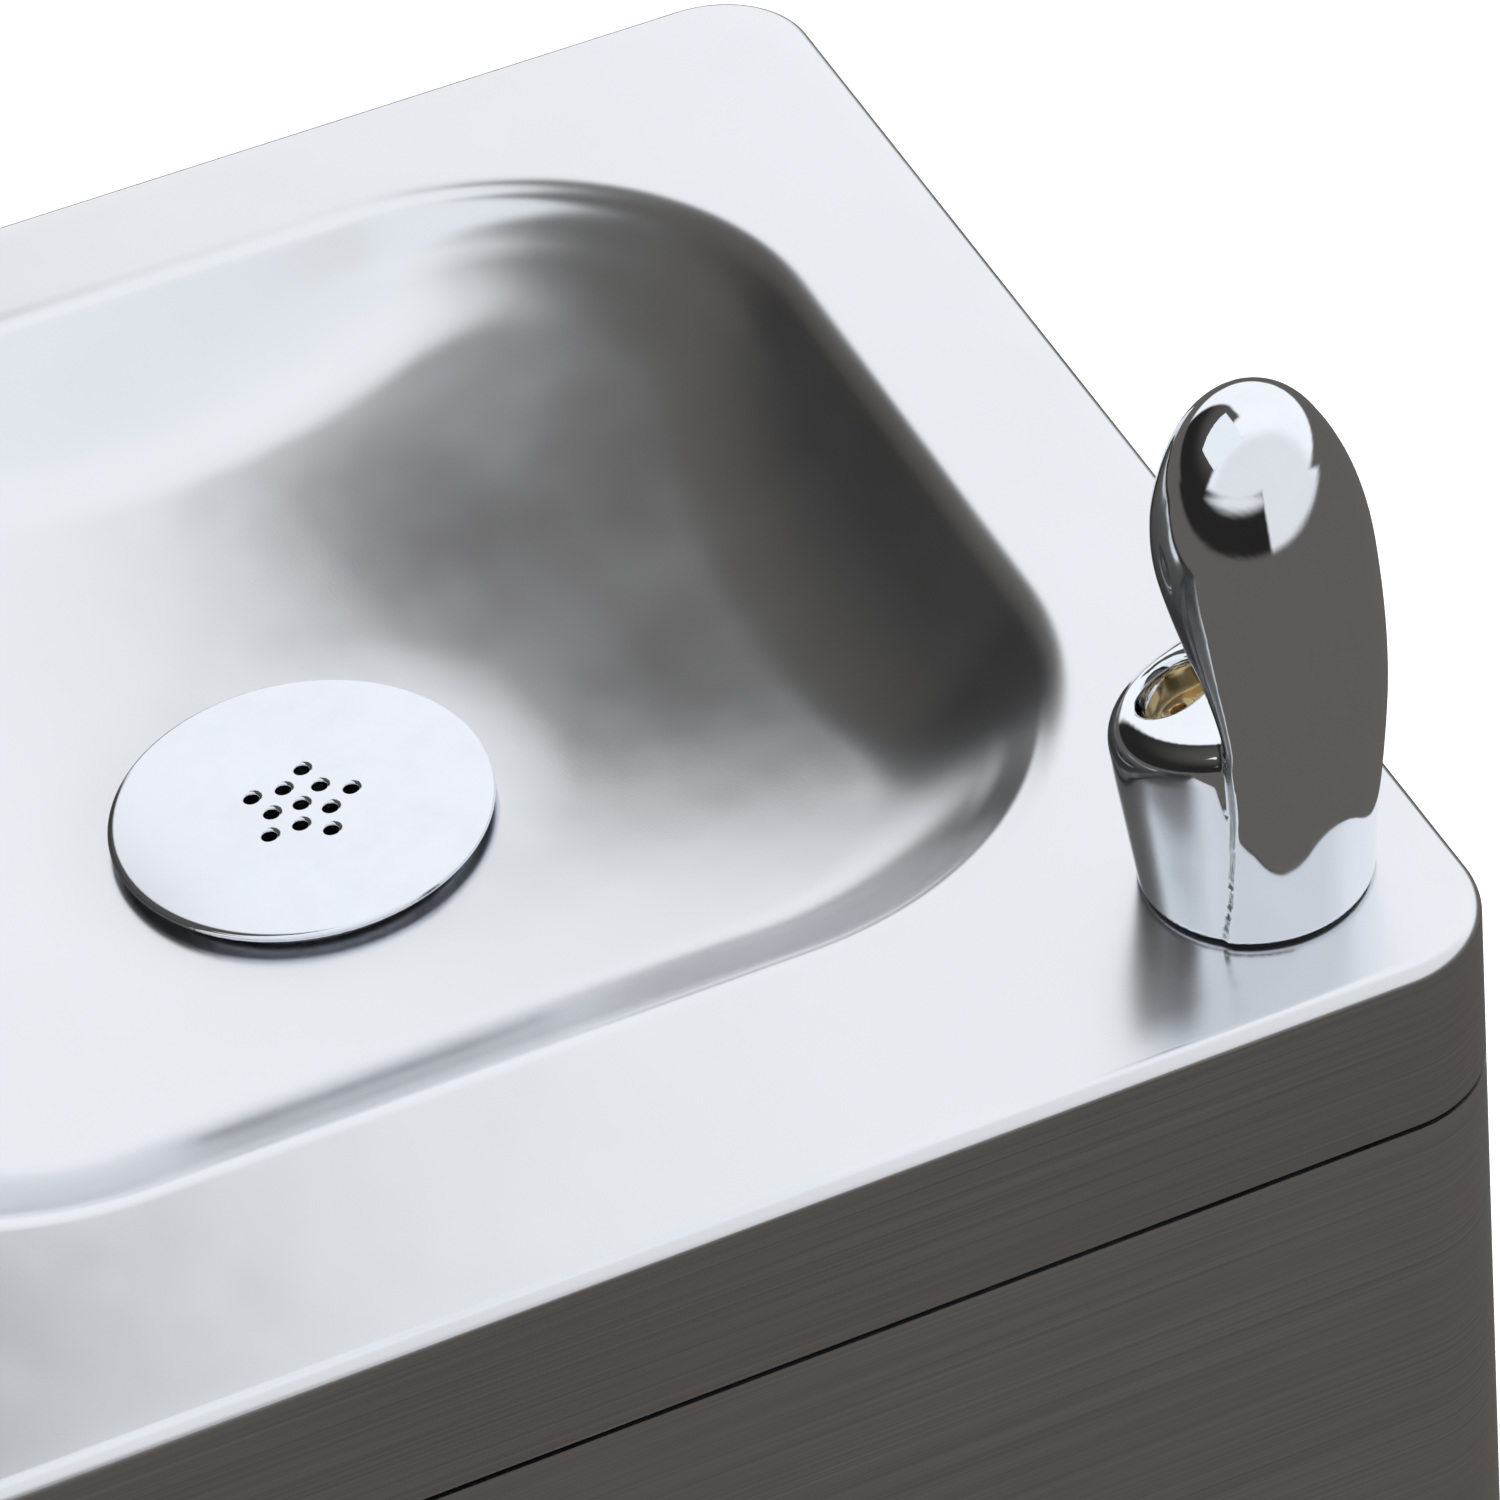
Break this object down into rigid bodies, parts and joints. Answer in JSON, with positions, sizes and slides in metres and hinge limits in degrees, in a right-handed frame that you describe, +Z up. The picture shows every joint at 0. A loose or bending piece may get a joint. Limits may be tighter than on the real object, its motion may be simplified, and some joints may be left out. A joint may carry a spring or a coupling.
{
  "type": "drinking fountain",
  "caption": "Floor-standing square stainless drinking fountain with a corner hooded bubbler, round drain cover, push-button valve and rear service door.",
  "frame": {"origin": "on the floor, at the middle of the four floor anchor holes", "axes": "+Z up, front with the push button towards -Y, bubbler corner at +X -Y"},
  "size_m": [0.3844, 0.39, 1.0769],
  "materials": {
    "deck_steel": "satin drawn stainless steel",
    "cabinet_steel": "long-grain brushed stainless steel",
    "polished_chrome": "mirror-polished chrome plate",
    "zinc_steel": "zinc-plated steel",
    "frame_paint": "dark primer paint",
    "brass": "machined brass",
    "copper": null,
    "rubber_black": "moulded rubber",
    "pvc_grey": "moulded grey plastic",
    "handle_red": "dipped lever cover",
    "screen_steel": "fine stainless mesh"
  },
  "bodies": {
    "fountain": {"basin": "deck_steel", "basin_studs": "zinc_steel", "basin_nuts": "zinc_steel", "drain_body": "zinc_steel", "drain_gasket": "rubber_black", "drain_washer": "zinc_steel", "drain_locknut": "brass", "tailpiece": "polished_chrome", "slip_nuts": "polished_chrome", "trap_bend": "polished_chrome", "cleanout_plug": "brass", "trap_arm": "polished_chrome", "waste_pipe": "zinc_steel", "waste_adapter": "pvc_grey", "waste_clip": "zinc_steel", "bubbler_body": "polished_chrome", "bubbler_nozzle": "brass", "bubbler_gasket": "rubber_black", "bubbler_shank": "brass", "bubbler_washer": "rubber_black", "bubbler_locknut": "brass", "supply_tube": "copper", "compression_nuts": "brass", "valve_body": "brass", "valve_cap": "brass", "stem_seal": "rubber_black", "button_bezel": "polished_chrome", "bezel_gasket": "rubber_black", "bezel_nut": "zinc_steel", "inlet_tube": "copper", "strainer_body": "brass", "strainer_cap": "brass", "strainer_screen": "screen_steel", "riser_tube": "copper", "stop_valve_body": "brass", "water_clip": "zinc_steel", "cabinet_shell": "cabinet_steel", "top_frame": "zinc_steel", "base_frame": "frame_paint", "rear_header": "cabinet_steel", "rear_kick": "cabinet_steel", "rear_screws": "zinc_steel", "base_screws": "zinc_steel", "door_pivots": "zinc_steel"},
    "push_button": {"push_button": "polished_chrome"},
    "valve_stem": {"valve_stem": "zinc_steel", "valve_spring": "zinc_steel"},
    "flow_screw": {"flow_screw": "zinc_steel"},
    "drain_cover": {"drain_cover": "polished_chrome"},
    "rear_door": {"rear_door": "cabinet_steel", "lock_housing": "polished_chrome", "lock_nut": "zinc_steel"},
    "door_lock": {"lock_plug": "polished_chrome", "lock_cam": "zinc_steel"},
    "stop_handle": {"stop_valve_ball": "zinc_steel", "stop_valve_stem": "zinc_steel", "stop_valve_handle": "handle_red", "handle_nut": "zinc_steel"}
  },
  "joints": [
    {"name": "button_press", "type": "slide", "parent": "fountain", "child": "push_button", "axis": [0, 1, 0], "range_m": [0, 0.004], "stiffness_N_per_m": 900, "springref_m": -0.004},
    {"name": "stem_slide", "type": "slide", "parent": "fountain", "child": "valve_stem", "axis": [0, 1, 0], "range_m": [0, 0.004], "stiffness_N_per_m": 900, "springref_m": -0.004, "deforming": ["valve_spring"]},
    {"name": "flow_adjust", "type": "hinge", "parent": "fountain", "child": "flow_screw", "pos_m": [0, -0.128, 0.85], "axis": [0, 0, 1], "range_deg": [-180, 180]},
    {"name": "cover_lift", "type": "slide", "parent": "fountain", "child": "drain_cover", "axis": [0, 0, 1], "range_m": [0, 0.06]},
    {"name": "door_swing", "type": "hinge", "parent": "fountain", "child": "rear_door", "pos_m": [-0.144, 0.184, 0.47], "axis": [0, 0, 1], "range_deg": [0, 105]},
    {"name": "lock_turn", "type": "hinge", "parent": "rear_door", "child": "door_lock", "pos_m": [0.125, 0.187, 0.47], "axis": [0, -1, 0], "range_deg": [0, 90]},
    {"name": "stop_valve_turn", "type": "hinge", "parent": "fountain", "child": "stop_handle", "pos_m": [0, -0.128, 0.22], "axis": [0, 1, 0], "range_deg": [0, 90]}
  ],
  "couplings": [
    {"joint": "stem_slide", "follows": "button_press", "ratio": 1}
  ]
}
